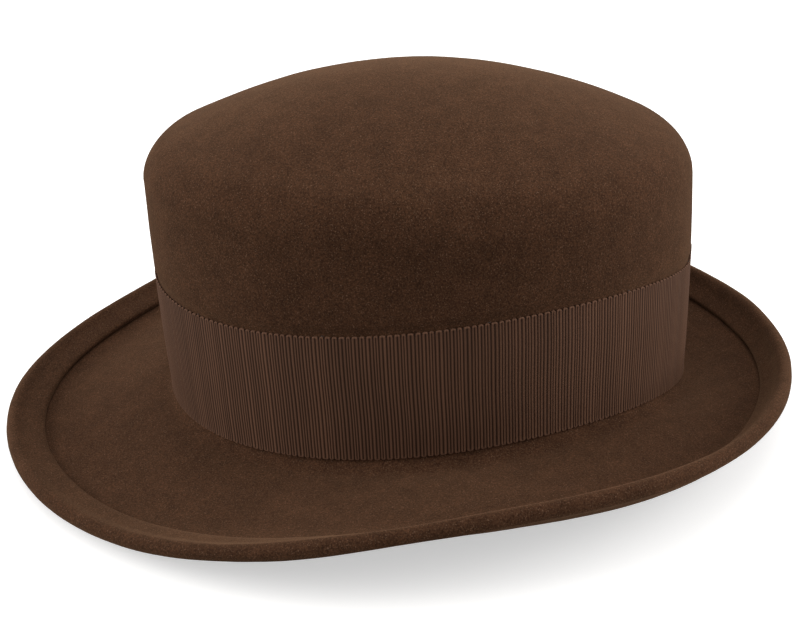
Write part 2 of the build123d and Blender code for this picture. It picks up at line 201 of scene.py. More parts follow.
def brim_ring(turn, share=None, back=None, lift=0.0):
    """Ring on the brim at a share of the way to the welt, or back mm from the edge."""
    length = wave(turn, BRIM_LENGTH)
    distance = share * (length - WELT_WIDTH) if share is not None else length - back
    offset, z, run, rise = brim_frame(turn, distance)
    return ring(turn, offset - rise * lift, z + run * lift)


# Lengths along the crown outline, counted from the -X side (turn = -180 degrees)
OUTLINE_TURNS = np.linspace(-math.pi, math.pi, 4001)
_x, _y = oval(OUTLINE_TURNS, 0.0)
OUTLINE_LENGTHS = np.concatenate([[0], np.cumsum(np.hypot(np.diff(_x), np.diff(_y)))])
PERIMETER = float(OUTLINE_LENGTHS[-1])
RIB_COUNT = int(round(PERIMETER / RIB_SPACING / 2) * 2)
PITCH = PERIMETER / RIB_COUNT


def turn_at(along):
    return np.interp(np.mod(along, PERIMETER), OUTLINE_LENGTHS, OUTLINE_TURNS)


BOW_ALONG = float(np.interp(math.radians((BOW_AT + 180) % 360 - 180),
                            OUTLINE_TURNS, OUTLINE_LENGTHS))


# --------------------------------------------------------------- mesh helpers
def is_inside_out(verts, faces):
    quads = np.array([face for face in faces if len(face) == 4])
    first, second, third, fourth = (verts[quads[:, i]] for i in range(4))
    volume = (np.einsum("ij,ij->i", first, np.cross(second, third))
              + np.einsum("ij,ij->i", first, np.cross(third, fourth))).sum()
    return volume < 0


def make_mesh(name, verts, faces, uv=None):
    """Smooth mesh from points in mm, faces turned outward, with one UV per point."""
    if is_inside_out(verts, faces):
        faces = [face[::-1] for face in faces]
    mesh = bpy.data.meshes.new(name)
    mesh.from_pydata((verts * MM).tolist(), [], faces)
    mesh.update()
    if uv is not None:
        layer = mesh.uv_layers.new(name="UVMap")
        corners = np.empty(len(mesh.loops), np.int64)
        mesh.loops.foreach_get("vertex_index", corners)
        layer.data.foreach_set("uv", np.asarray(uv, np.float32)[corners].ravel())
    mesh.polygons.foreach_set("use_smooth", [True] * len(mesh.polygons))
    ob = bpy.data.objects.new(name, mesh)
    bpy.context.scene.collection.objects.link(ob)
    return ob


def grid_faces(rows, count, wrap_rows=False, base=0):
    """Quads between rows of count points; each row closes on itself."""
    row, col = np.meshgrid(np.arange(rows if wrap_rows else rows - 1), np.arange(count),
                           indexing="ij")
    next_row, next_col = (row + 1) % rows, (col + 1) % count
    quads = [row * count + col, row * count + next_col,
             next_row * count + next_col, next_row * count + col]
    return (np.stack(quads, -1).reshape(-1, 4) + base).tolist()


def ring_mesh(name, rings, closed, uv=None):
    """Rings (m, n, 3); closed joins last to first, else both ends are filled with a fan."""
    points = np.asarray(rings, float)
    rows, count = points.shape[:2]
    verts = points.reshape(-1, 3)
    faces = grid_faces(rows, count, wrap_rows=closed)
    if uv is not None:
        uv = np.asarray(uv, float).reshape(-1, 2)
    if not closed:
        for row, first in ((0, True), (rows - 1, False)):
            centre = len(verts)
            verts = np.vstack([verts, points[row].mean(0)[None]])
            start = row * count
            if uv is not None:
                uv = np.vstack([uv, uv[start:start + count].mean(0)[None]])
            for j in range(count):
                here, after = start + j, start + (j + 1) % count
                faces.append([centre, after, here] if first else [centre, here, after])
    return make_mesh(name, verts, faces, uv)


def tube_mesh(name, tubes, uv=None):
    """Tubes in one mesh, each (n, k, 3): a closed section of k points walked along n columns."""
    verts, faces, base = [], [], 0
    for tube in tubes:
        columns, count = tube.shape[:2]
        verts.append(tube.reshape(-1, 3))
        faces.extend(grid_faces(columns, count, base=base))
        faces.append([base + j for j in range(count)][::-1])
        faces.append([base + (columns - 1) * count + j for j in range(count)])
        base += columns * count
    if uv is not None:
        uv = np.asarray(uv, float).reshape(-1, 2)
    return make_mesh(name, np.concatenate(verts), faces, uv)


def strip_mesh(name, rows, uv=None):
    """One tube given as lines that run its whole length."""
    return tube_mesh(name, [np.array(rows).transpose(1, 0, 2)], uv)


def uv_grid(along, across):
    return np.stack(np.meshgrid(along, across, indexing="ij"), -1)


def smooth_noise(points, size, amount, seed):
    """Seeded noise value for each point."""
    shift = Vector((seed * 17.3, seed * 5.1, seed * 9.7))
    scale = 1.0 / size
    return np.array([noise.noise(Vector((float(x) * scale, float(y) * scale, float(z) * scale))
                                 + shift) for x, y, z in points]) * amount


def bump_rings(points, layers):
    """Moves ring points along the surface normal by layers of (size, amount, seed) noise."""
    rows, count = points.shape[:2]
    along = np.roll(points, -1, 1) - np.roll(points, 1, 1)
    across = np.empty_like(points)
    across[1:-1] = points[2:] - points[:-2]
    across[0], across[-1] = points[1] - points[0], points[-1] - points[-2]
    normal = np.cross(along, across)
    length = np.linalg.norm(normal, axis=-1, keepdims=True)
    normal = np.where(length > 1e-9, normal / np.maximum(length, 1e-9), 0)
    flat = points.reshape(-1, 3)
    shift = np.zeros(len(flat))
    for size, amount, seed in layers:
        shift += smooth_noise(flat, size, amount, seed)
    return points + normal * shift.reshape(rows, count, 1)


def signed_power(value, power):
    return np.sign(value) * np.abs(value) ** power


# --------------------------------------------------------------- materials
class Mat:
    """A node material with a Principled shader."""

    def __init__(self, name):
        self.material = bpy.data.materials.new(name)
        self.material.use_nodes = True
        self.tree = self.material.node_tree
        self.tree.nodes.clear()
        self.output = self.node("OutputMaterial")
        self.shader = self.node("BsdfPrincipled")
        self.link(self.shader.outputs[0], self.output.inputs[0])

    def node(self, kind, **settings):
        node = self.tree.nodes.new("ShaderNode" + kind)
        for key, value in settings.items():
            setattr(node, key, value)
        return node

    def link(self, source, target):
        self.tree.links.new(source, target)

    def fill(self, socket, value):
        """Links a socket, or stores a number or a colour in it."""
        if isinstance(value, bpy.types.NodeSocket):
            self.link(value, socket)
        elif isinstance(value, tuple):
            socket.default_value = (*value, 1.0)
        else:
            socket.default_value = value

    def surface(self, values):
        for name, value in values.items():
            self.fill(self.shader.inputs[name], value)

    def coord(self, which="Object"):
        return self.node("TexCoord").outputs[which]

    def mapping(self, vector, scale):
        node = self.node("Mapping")
        node.inputs["Scale"].default_value = scale
        self.link(vector, node.inputs["Vector"])
        return node.outputs[0]

    def noise(self, vector, scale=1.0, detail=2.0, roughness=0.5, distortion=0.0):
        node = self.node("TexNoise")
        node.inputs["Scale"].default_value = scale
        node.inputs["Detail"].default_value = detail
        node.inputs["Roughness"].default_value = roughness
        node.inputs["Distortion"].default_value = distortion
        self.link(vector, node.inputs["Vector"])
        return node.outputs["Fac"]

    def ramp(self, factor, stops):
        """Colour ramp of (position, colour) stops, where a plain number is a grey."""
        node = self.node("ValToRGB")
        elements = node.color_ramp.elements
        while len(elements) < len(stops):
            elements.new(0.5)
        for element, (position, colour) in zip(elements, stops):
            rgb = colour if isinstance(colour, tuple) else (colour,) * 3
            element.position = position
            element.color = (*rgb, 1.0)
        self.link(factor, node.inputs["Fac"])
        return node.outputs["Color"]

    def math(self, operation, *values):
        node = self.node("Math", operation=operation)
        for socket, value in zip(node.inputs, values):
            self.fill(socket, value)
        return node.outputs[0]

    def mix(self, first, second, factor, mode="MIX"):
        node = self.node("Mix", data_type="RGBA", blend_type=mode)
        for index, value in ((0, factor), (6, first), (7, second)):
            self.fill(node.inputs[index], value)
        return node.outputs[2]

    def tint(self, colour, factor, stops, amount=1.0):
        """Multiplies a colour by a ramp."""
        return self.mix(colour, self.ramp(factor, stops), factor=amount, mode="MULTIPLY")

    def bump(self, height, strength, distance, normal=None):
        node = self.node("Bump")
        node.inputs["Strength"].default_value = strength
        node.inputs["Distance"].default_value = distance
        self.link(height, node.inputs["Height"])
        if normal is not None:
            self.link(normal, node.inputs["Normal"])
        return node.outputs[0]


def tone(colour, *gains):
    """Colour times one gain, or times one gain per channel."""
    if len(gains) == 1:
        gains = gains * 3
    return tuple(value * gain for value, gain in zip(colour, gains))


def felt_material():
    base = (0.0485, 0.0224, 0.0117)
    dark = (0.0325, 0.0142, 0.0073)
    fleck = (0.165, 0.098, 0.062)
    m = Mat("wool_felt")
    place = m.coord()
    mottle = m.noise(place, scale=42.0, detail=4.0, roughness=0.55)
    patch = m.noise(place, scale=260.0, detail=3.0, roughness=0.6)
    grain = m.noise(place, scale=1450.0, detail=3.0, roughness=0.65)
    fibre = m.noise(m.mapping(place, scale=(1400.0, 1400.0, 5200.0)),
                    roughness=0.6, distortion=1.2)
    speck = m.noise(place, scale=2300.0, detail=1.0)
    blotch = m.noise(place, scale=120.0, roughness=0.6)
    colour = m.mix(base, dark, factor=m.math("MULTIPLY", mottle, 0.9))
    colour = m.mix(colour, tone(base, 1.32, 1.30, 1.25), factor=m.math("MULTIPLY", patch, 0.28))
    colour = m.tint(colour, grain, [(0.36, 0.60), (0.50, 1.0), (0.64, (1.46, 1.45, 1.43))])
    colour = m.tint(colour, fibre, [(0.35, 0.86), (0.65, 1.16)])
    colour = m.tint(colour, blotch, [(0.34, 0.87), (0.66, 1.13)])
    specks = m.ramp(speck, [(0.62, 0.0), (0.72, 1.0)])
    colour = m.mix(colour, fleck, factor=m.math("MULTIPLY", specks, 0.55))
    normal = m.bump(grain, strength=0.55, distance=0.00028)
    normal = m.bump(fibre, strength=0.35, distance=0.00016, normal=normal)
    normal = m.bump(patch, strength=0.25, distance=0.0006, normal=normal)
    m.surface({"Base Color": colour, "Roughness": 0.92, "Specular IOR Level": 0.05,
               "Sheen Weight": 0.22, "Sheen Roughness": 0.45, "Sheen Tint": (0.60, 0.35, 0.20),
               "Normal": normal})
    return m.material


def ribbon_material():
    """UV: u along the ribbon in ribs, v across the ribbon in mm."""
    base = (0.0660, 0.0325, 0.0192)
    warp_pitch = 0.26
    m = Mat("grosgrain")
    uv = m.coord("UV")
    split = m.node("SeparateXYZ")
    m.link(uv, split.inputs[0])
    u, v = split.outputs[0], split.outputs[1]

    def rib_wave(rate):
        return m.math("ABSOLUTE", m.math("SINE", m.math("MULTIPLY", u, rate)))
    # painted shade in the grooves between ribs and painted highlight on the rib crests
    groove = m.ramp(rib_wave(math.pi),
                    [(0.0, (0.25, 0.20, 0.17)), (0.30, (0.52, 0.47, 0.44)),
                     (0.66, (0.98, 0.97, 0.96)), (0.90, 1.48), (1.0, 1.76)])
    # fine warp threads over each rib, brought to 0..1
    warp = m.math("SINE", m.math("MULTIPLY", v, TAU / warp_pitch))
    warp = m.math("MULTIPLY_ADD", warp, 0.5, 0.5)
    rib_shade = m.node("TexWhiteNoise", noise_dimensions="1D")
    m.link(m.math("FLOOR", u), rib_shade.inputs["W"])
    streak = m.noise(m.mapping(uv, scale=(0.06, 0.03, 1.0)))
    # painted highlight on the loops of weft along both edges, two ribs each, and painted shade
    # between the loops
    from_low = m.math("SUBTRACT", v, RIBBON_LOW)
    from_top = m.math("SUBTRACT", RIBBON_WIDTH, v)
    depth = m.math("MINIMUM", m.math("ABSOLUTE", from_low), m.math("ABSOLUTE", from_top))
    edge = m.ramp(depth, [(0.0, 1.0), (0.42, 1.0), (0.62, 0.0)])
    yarn = m.noise(m.mapping(uv, scale=(3.0, 5.0, 1.0)), roughness=0.6)
    colour = m.mix(base, groove, factor=1.0, mode="MULTIPLY")
    colour = m.tint(colour, warp, [(0.0, 0.86), (1.0, 1.12)], amount=0.8)
    colour = m.tint(colour, rib_shade.outputs[0], [(0.0, 0.90), (1.0, 1.10)])
    colour = m.tint(colour, streak, [(0.32, 0.93), (0.68, 1.07)])
    colour = m.tint(colour, yarn, [(0.3, 0.88), (0.7, 1.14)])
    loop = m.ramp(rib_wave(math.pi / 2), [(0.30, 0.0), (0.62, 1.0)])
    between = m.math("MULTIPLY", edge, m.math("SUBTRACT", 1.0, loop))
    edge_loop_highlight = m.math("MULTIPLY", m.math("MULTIPLY", edge, loop), 0.75)
    # painted highlight on the edge loops, then painted shade in the notches between them
    colour = m.mix(colour, tone(base, 1.9), factor=edge_loop_highlight)
    colour = m.mix(colour, tone(base, 0.25, 0.22, 0.2), factor=m.math("MULTIPLY", between, 0.8))
    normal = m.bump(warp, strength=0.35, distance=0.00006)
    normal = m.bump(yarn, strength=0.30, distance=0.00005, normal=normal)
    m.surface({"Base Color": colour, "Roughness": 0.70, "Specular IOR Level": 0.12,
               "Sheen Weight": 0.09, "Sheen Roughness": 0.40, "Sheen Tint": (0.62, 0.38, 0.25),
               "Normal": normal})
    return m.material


def leather_material():
    m = Mat("sweat_leather")
    place = m.coord()
    pebble = m.node("TexVoronoi", feature="DISTANCE_TO_EDGE")
    pebble.inputs["Scale"].default_value = 1150.0
    m.link(place, pebble.inputs["Vector"])
    cells = m.ramp(pebble.outputs["Distance"], [(0.0, 0.0), (0.18, 1.0)])
    broad = m.noise(place, scale=55.0, detail=4.0, roughness=0.6)
    fine = m.noise(place, scale=1900.0, roughness=0.6)
    colour = m.ramp(broad, [(0.25, (0.150, 0.060, 0.026)), (0.55, (0.215, 0.092, 0.040)),
                            (0.80, (0.290, 0.135, 0.062))])
    # darker along the creases between the pebbles: painted shade in the recesses
    colour = m.mix(colour, cells, factor=0.30, mode="MULTIPLY")
    roughness = m.ramp(fine, [(0.3, 0.36), (0.7, 0.56)])
    normal = m.bump(cells, strength=0.35, distance=0.00012)
    normal = m.bump(fine, strength=0.20, distance=0.00006, normal=normal)
    normal = m.bump(broad, strength=0.25, distance=0.0008, normal=normal)
    m.surface({"Base Color": colour, "Roughness": roughness, "Specular IOR Level": 0.45,
               "Normal": normal})
    return m.material


def satin_material():
    base = (0.110, 0.055, 0.032)
    m = Mat("satin")
    uv = m.coord("UV")
    place = m.coord()
    weft = m.noise(m.mapping(uv, scale=(6.0, 0.35, 1.0)), detail=3.0, roughness=0.6)
    warp = m.noise(m.mapping(uv, scale=(0.35, 6.0, 1.0)), detail=3.0, roughness=0.6)
    slub = m.noise(place, scale=90.0, detail=3.0)
    colour = m.mix(base, tone(base, 1.5), factor=m.math("MULTIPLY", slub, 0.8))
    colour = m.tint(colour, weft, [(0.3, 0.78), (0.7, 1.25)], amount=0.5)
    normal = m.bump(weft, strength=0.22, distance=0.00008)
    normal = m.bump(warp, strength=0.12, distance=0.00006, normal=normal)
    normal = m.bump(slub, strength=0.20, distance=0.0012, normal=normal)
    m.surface({"Base Color": colour, "Roughness": 0.34, "Anisotropic": 0.6,
               "Specular IOR Level": 0.55, "Sheen Weight": 0.25, "Normal": normal})
    return m.material


def thread_material(name, base, roughness, twist):
    m = Mat(name)
    place = m.coord()
    ply = m.node("TexWave", wave_type="BANDS", bands_direction="DIAGONAL")
    ply.inputs["Scale"].default_value = twist
    ply.inputs["Distortion"].default_value = 1.5
    m.link(place, ply.inputs["Vector"])
    strand = ply.outputs["Fac"]
    fuzz = m.noise(place, scale=2500.0, roughness=0.6)
    # darker in the grooves of the twist and lighter on the plies: painted shade and painted
    # highlight
    colour = m.mix(tone(base, 0.65), tone(base, 1.2), factor=strand)
    normal = m.bump(strand, strength=0.5, distance=0.00008)
    normal = m.bump(fuzz, strength=0.3, distance=0.00005, normal=normal)
    m.surface({"Base Color": colour, "Roughness": roughness, "Sheen Weight": 0.3,
               "Normal": normal})
    return m.material


def wire_material():
    m = Mat("spring_wire")
    lines = m.noise(m.mapping(m.coord(), scale=(900.0, 60.0, 900.0)), detail=3.0, roughness=0.6)
    m.surface({"Base Color": m.ramp(lines, [(0.3, (0.38, 0.38, 0.39)), (0.7, (0.58, 0.58, 0.60))]),
               "Metallic": 1.0, "Roughness": 0.32,
               "Normal": m.bump(lines, strength=0.2, distance=0.00004)})
    return m.material


def reed_material():
    m = Mat("reed_plastic")
    cloud = m.noise(m.coord(), scale=700.0)
    m.surface({"Base Color": m.ramp(cloud, [(0.3, (0.42, 0.37, 0.30)), (0.7, (0.55, 0.50, 0.42))]),
               "Roughness": 0.42,
               "Normal": m.bump(cloud, strength=0.15, distance=0.00005)})
    return m.material


FELT_MAT = felt_material()
RIBBON_MAT = ribbon_material()
LEATHER_MAT = leather_material()
SATIN_MAT = satin_material()
PIPING_MAT = thread_material("piping_cord", (0.085, 0.045, 0.028), roughness=0.45, twist=700.0)
THREAD_MAT = thread_material("sewing_thread", (0.115, 0.062, 0.036), roughness=0.55, twist=2600.0)
DARK_THREAD_MAT = thread_material("hat_thread", (0.022, 0.011, 0.007), roughness=0.8, twist=2600.0)
TAPE_MAT = thread_material("reed_tape_weave", (0.090, 0.050, 0.032), roughness=0.75, twist=1500.0)
TAB_MAT = thread_material("tab_weave", (0.52, 0.48, 0.40), roughness=0.8, twist=2200.0)
WIRE_MAT = wire_material()
REED_MAT = reed_material()


def finish_piece(ob, material, node):
    ob.data.materials.clear()
    ob.data.materials.append(material)
    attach(ob, BODY)
    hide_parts(node)


# --------------------------------------------------------------- felt body
FELT_TURNS = np.linspace(0.0, TAU, 900, endpoint=False)


def root_fillet(wall_offset, wall_rise, brim_offset, brim_z, angles):
    """Quarter-round rings between crown wall and brim: 90 degrees is the brim's end."""
    rings = []
    for angle in np.radians(angles):
        out, down = 1 - math.cos(angle), 1 - math.sin(angle)
        z = brim_z + (break_z(FELT_TURNS) + wall_rise - brim_z) * down
        rings.append(ring(FELT_TURNS, wall_offset + (brim_offset - wall_offset) * out, z))
    return rings


def crown_outside():
    turn = FELT_TURNS
    shoulder = DOME_SHOULDER_AT + (1 - DOME_SHOULDER_AT) * np.sin(np.radians(np.linspace(2, 88, 20)))
    rings = [dome_ring(turn, float(reach), 0.0)
             for reach in np.concatenate([np.linspace(0.012, 0.88, 34), shoulder])]
    wall_top = wall_z(turn, 1.0) - break_z(turn)
    wall_low = RIBBON_WIDTH + 7.0
    for share in np.linspace(0.03, 1.0, 9):
        height = wall_top + (wall_low - wall_top) * share
        rings.append(above_break(turn, flare(height), height))
    # step in under the ribbon, then down behind it
    for height in [*np.linspace(RIBBON_WIDTH + 6.0, RIBBON_WIDTH + 0.3, 10),
                   *np.linspace(47, 4.5, 9)]:
        rings.append(above_break(turn, flare(height) + skin_at(height), height))
    offset, z, _, _ = brim_frame(turn, 2.0)
    return rings + root_fillet(CROWN_SKIN, 1.2, offset, z, np.linspace(0, 84, 10))


def brim_rows(backs, lift=0.0):
    return [brim_ring(FELT_TURNS, back=back, lift=lift) for back in backs]


def swell(back, flat, rim):
    """Lift that changes from flat to rim on the way to the folded edge."""
    return flat + (rim - flat) * ease((FOLD_BLEND - back) / (FOLD_BLEND - FOLD_RADIUS))


# Cut end of the fold, slightly rounded and pressed: (mm past the cut, lift)
CUT_END = ((0.30, 0.08), (0.08, 0.30), (0.0, 0.7), (0.05, 1.15), (0.20, 1.50),
           (0.45, 1.75), (0.9, 1.95), (1.6, 2.08), (2.6, 2.16))


def brim_and_welt():
    turn = FELT_TURNS
    rings = [brim_ring(turn, share=share) for share in np.linspace(0.08, 0.985, 26)]
    # upper face of the brim inside the fold, out to the wire
    rings += brim_rows((WELT_WIDTH - 0.25, WELT_WIDTH - 0.8, 11.0, 8.0, CHANNEL_SIDE))
    for i in range(11):                 # round the wire channel
        angle = math.radians(-158 + i * 31.6)
        rings.append(brim_ring(turn, back=FOLD_RADIUS - CHANNEL_RADIUS * math.cos(angle),
                               lift=WELT_MID + CHANNEL_RADIUS * math.sin(angle)))
    rings += brim_rows((CHANNEL_SIDE, 8.0, 11.0, WELT_WIDTH - 0.8), lift=WELT_GAP)
    for past, lift in CUT_END:
        rings.append(brim_ring(turn, back=WELT_WIDTH - past, lift=WELT_GAP + lift))
    # upper face of the welt, round the edge, and back under the brim
    for back in [*np.linspace(WELT_WIDTH - 3.6, 6.6, 6), *np.linspace(6.0, FOLD_RADIUS + 0.35, 7)]:
        lift = swell(back, WELT_GAP + WELT_FELT, WELT_MID + FOLD_RADIUS)
        rings.append(brim_ring(turn, back=float(back), lift=lift))
    for angle in np.radians(np.linspace(88, -88, 19)):
        rings.append(brim_ring(turn, back=FOLD_RADIUS - FOLD_RADIUS * math.cos(angle),
                               lift=WELT_MID + FOLD_RADIUS * math.sin(angle)))
    for back in (FOLD_RADIUS + 0.5, 4.2, 5.2, 6.2, 7.2, 9.0, 11.5, WELT_WIDTH):
        rings.append(brim_ring(turn, back=back,
                               lift=swell(back, -BRIM_FELT, WELT_MID - FOLD_RADIUS)))
    for share in np.linspace(0.93, 0.12, 20):
        rings.append(brim_ring(turn, share=float(share), lift=-BRIM_FELT))
    return rings


def crown_inside():
    turn = FELT_TURNS
    offset, z, run, rise = brim_frame(turn, 2.2)
    rings = root_fillet(-INNER_WALL, 0.6, offset + rise * BRIM_FELT, z - run * BRIM_FELT,
                        np.linspace(80, 0, 9))
    for height in (5.0, 12.0, 22.0, 34.0, 50.0):
        rings.append(above_break(turn, inner(height, 0.0), height))
    for share in (0.86, 0.95):
        z = wall_z(turn, share)
        rings.append(ring(turn, inner(z - break_z(turn), 0.0), z))
    for reach in (0.992, 0.978, 0.958, 0.93, 0.9, 0.82, 0.68, 0.52, 0.36, 0.2, 0.05):
        rings.append(dome_ring(turn, reach, INNER_WALL))
    return rings


FELT_BUMPS = [(38.0, 0.34, 3), (13.0, 0.085, 5), (4.0, 0.028, 7)]   # size, amount, seed
felt_rings = bump_rings(np.array(crown_outside() + brim_and_welt() + crown_inside()), FELT_BUMPS)
finish_piece(ring_mesh("felt_hat", felt_rings, closed=False), FELT_MAT, "felt_body")


# --------------------------------------------------------------- grosgrain ribbon
def rib_height(ribs, depth):
    """Rib surface below its crest, ribs counted along the ribbon."""
    return depth * (np.sqrt(np.abs(np.sin(np.pi * ribs)) + 1e-9) - 1.0)


def edge_loops(ribs):
    """1 in the middle of each two-rib loop at the edge, 0 between loops."""
    return np.sqrt(np.abs(np.sin(np.pi * ribs / 2)) + 1e-9)


def edge_fade(depth):
    """1 at a ribbon's edge, fading with depth from it."""
    return math.exp(-depth / 0.45)


def scallop(loops, depth, amount, lower):
    """Shift across the ribbon that pulls the edge inward between loops."""
    return (1 if lower else -1) * (1 - loops) * amount * edge_fade(depth)


def ribbon_band():
    columns = RIB_COUNT * COLUMNS_PER_RIB - 4
    ribs = (np.arange(columns) + 2.0) / COLUMNS_PER_RIB
    along = BOW_ALONG + ribs * PITCH
    top = RIBBON_WIDTH
    heights = [RIBBON_LOW, 0.98, 1.12, 1.35, 1.7, 2.2, 3.0, 4.2, 7.0, 12, 18, 25, 32, 39, 44,
               top - 3.0, top - 2.0, top - 1.2, top - 0.75, top - 0.40, top - 0.18, top - 0.04,
               top]
    loops = edge_loops(ribs)
    ripple = 0.10 * np.sin(along / 31.0) + 0.07 * np.sin(along / 17.0 + 1.3)
    rng = np.random.default_rng(11)
    uneven = np.interp(ribs, np.arange(RIB_COUNT + 2) + 0.5, rng.normal(0.0, 0.07, RIB_COUNT + 2))
    ridge = rib_height(ribs, 0.22) * (1 + np.clip(uneven, -0.3, 0.3))
    # ribs wander a little along the ribbon, but not at its two ends
    free = np.clip(np.minimum(ribs, RIB_COUNT - ribs) / 12.0, 0, 1)
    drift = free * (0.16 * np.sin(ribs * 0.83 + 0.4) + 0.12 * np.sin(ribs * 1.57 + 2.0))
    outside, inside = [], []
    for height in heights:
        bend = math.sin(math.pi * min(1.0, max(0.0, height / top)))
        turn = turn_at(along + drift + free * 0.17 * np.sin(height / 8.5 + along / 27.0) * bend)
        depth = min(height - RIBBON_LOW, top - height)
        fade = edge_fade(depth)
        at = height + scallop(loops, depth, 0.74, lower=height <= top / 2)
        roll = -0.12 * math.exp(-depth / 0.10)
        proud = 0.10 * math.exp(-((depth - 0.45) / 0.35) ** 2)      # raised selvedge
        foot = 0.25 * math.exp(-max(0.0, height - RIBBON_LOW) / 1.6)
        relief = ridge * (1 - 0.35 * fade) + (loops - 1) * 0.16 * fade
        offset = flare(height) + relief + roll + proud + foot
        offset = offset + ripple * 0.35 * math.sin(math.pi * min(1, depth / 12))
        outside.append(above_break(turn, offset, at))
        inside.append(above_break(turn, flare(height) - RIBBON_THICK + foot, at))
    return strip_mesh("grosgrain_ribbon", outside + inside[::-1],
                      uv_grid(ribs, heights + heights[::-1]))


finish_piece(ribbon_band(), RIBBON_MAT, "ribbon_band")

# --------------------------------------------------------------- bow
BOW_RIB_DEPTH = 0.16
KNOT_HALF = 4.2


def on_ribbon(along, offset, height):
    """Points along mm from the bow's centre, offset outside the crown wall."""
    return above_break(turn_at(BOW_ALONG + along), offset + flare(height), height)


def near_knot(along, half, softness):
    """1 within half of the bow's centre, fading outside it."""
    return np.exp(-(np.maximum(0.0, np.abs(along) - half) / softness) ** 2)


def pinch(along):
    return BOW_PINCH * near_knot(along, 4.6, 4.0)


def bow_roll(depth):
    """Rounding of a bow ribbon's outer face at its edge."""
    return -0.18 * math.exp(-depth / 0.14)


def across_ribbon(width):
    """Shares from one selvedge to the other, dense near both."""
    edge = np.array((0.0, 0.10, 0.25, 0.5, 0.9, 1.5)) / width
    return np.concatenate([edge, np.linspace(2.4 / width, 1 - 2.4 / width, 9), 1 - edge[::-1]])


def mirrored(values):
    return np.concatenate([values, values[::-1]])


def bow_tails():
    width, uv_width, base = 40, 42, 0.72
    half = BOW_HALF - 1.5
    along = np.linspace(-half, half, int(2 * half / PITCH) * COLUMNS_PER_RIB)
    ribs = along / PITCH
    ridge, loops = rib_height(ribs, BOW_RIB_DEPTH), edge_loops(ribs)
    shares = across_ribbon(width)
    outside, inside = [], []
    low, top = BOW_LOW + 0.8 + pinch(along), BOW_TOP - 0.8 - pinch(along)
    for share in shares:
        depth = min(share, 1 - share) * width
        height = low + (top - low) * share + scallop(loops, depth, 0.55, lower=share < 0.5)
        outside.append(on_ribbon(along, base + BOW_THICK + ridge + bow_roll(depth), height))
        inside.append(on_ribbon(along, base, height))
    return strip_mesh("bow_tail_pair", outside + inside[::-1],
                      uv_grid(ribs, mirrored(shares) * uv_width))


finish_piece(bow_tails(), RIBBON_MAT, "bow_tails")


def ribbed_loop(path, samples, measured_at, half_thick):
    """Walks a closed path evenly in whole ribs.

    path(grow) gives two coordinates over one round. Its length is taken at grow =
    measured_at. Returns ribs, ridge, edge loops, outer and inner lines, outward normal.
    """
    angles = np.linspace(0, TAU, samples, endpoint=False)
    first, second = path(measured_at)
    steps = np.hypot(np.diff(np.append(first, first[0])), np.diff(np.append(second, second[0])))
    lengths = np.concatenate([[0], np.cumsum(steps)])
    total = lengths[-1]
    rib_count = int(round(total / PITCH / 2) * 2)
    walked = np.linspace(0, total, rib_count * COLUMNS_PER_RIB, endpoint=False)
    even = np.interp(walked, lengths, np.append(angles, TAU))
    ribs = walked / total * rib_count

    def line(grow):
        return [np.interp(even, angles, values, period=TAU) for values in path(grow)]
    outer = line(half_thick)
    run, rise = (np.roll(values, -1) - np.roll(values, 1) for values in outer)
    norm = np.hypot(run, rise) + 1e-9
    return (ribs, rib_height(ribs, BOW_RIB_DEPTH), edge_loops(ribs), outer, line(-half_thick),
            (rise / norm, -run / norm))


def bow_loops():
    half, width = BOW_HALF - 1.2, 44
    low_offset, top_offset = 1.72, 3.3
    radius, mid = (top_offset - low_offset) / 2, (low_offset + top_offset) / 2
    samples = 3000
    angles = np.linspace(0, TAU, samples, endpoint=False)

    def path(grow):
        """Flat loop (along, offset), pressed down at the knot and swelling beside it."""
        along = signed_power(np.cos(angles), 0.22) * (half + grow)
        rise = signed_power(np.sin(angles), 0.9) * (radius + grow)
        press = (top_offset - low_offset - 0.62) * near_knot(along, 4.8, 4.0)
        swelling = 0.55 * np.exp(-((np.abs(along) - 15.5) / 7.0) ** 2)
        offset = mid + rise - np.where(rise > 0, press, 0)
        return along, offset + np.where(rise > 0, swelling, 0)
    ribs, ridge, loops, outer, inner_line, normal = ribbed_loop(path, samples, 0.0, BOW_THICK / 2)

    def row(share, along, offset):
        depth = min(share, 1 - share) * width
        low, top = BOW_LOW + pinch(along), BOW_TOP - pinch(along)
        gather = near_knot(along, 4.6, 5.0)
        height = low + (top - low) * share + scallop(loops, depth, 0.55, lower=share < 0.5)
        # the upper layer stands out more toward the top and is crimped near the knot
        spread = np.where(offset > mid, 1 + 0.55 * (share - 0.5) * (1 - gather), 1)
        offset = low_offset + (offset - low_offset) * spread
        crimp = 0.16 * gather * np.sin(share * math.pi * 11)
        return on_ribbon(along, offset + np.where(offset > mid, crimp, 0), height)
    outside, inside = [], []
    shares = across_ribbon(width)
    for share in shares:
        out = ridge + bow_roll(min(share, 1 - share) * width)
        outside.append(row(share, outer[0] + normal[0] * out, outer[1] + normal[1] * out))
        inside.append(row(share, *inner_line))
    return ring_mesh("bow_loop_pair", outside + inside[::-1], True,
                     uv_grid(ribs, mirrored(shares) * width).transpose(1, 0, 2))


finish_piece(bow_loops(), RIBBON_MAT, "bow_loops")


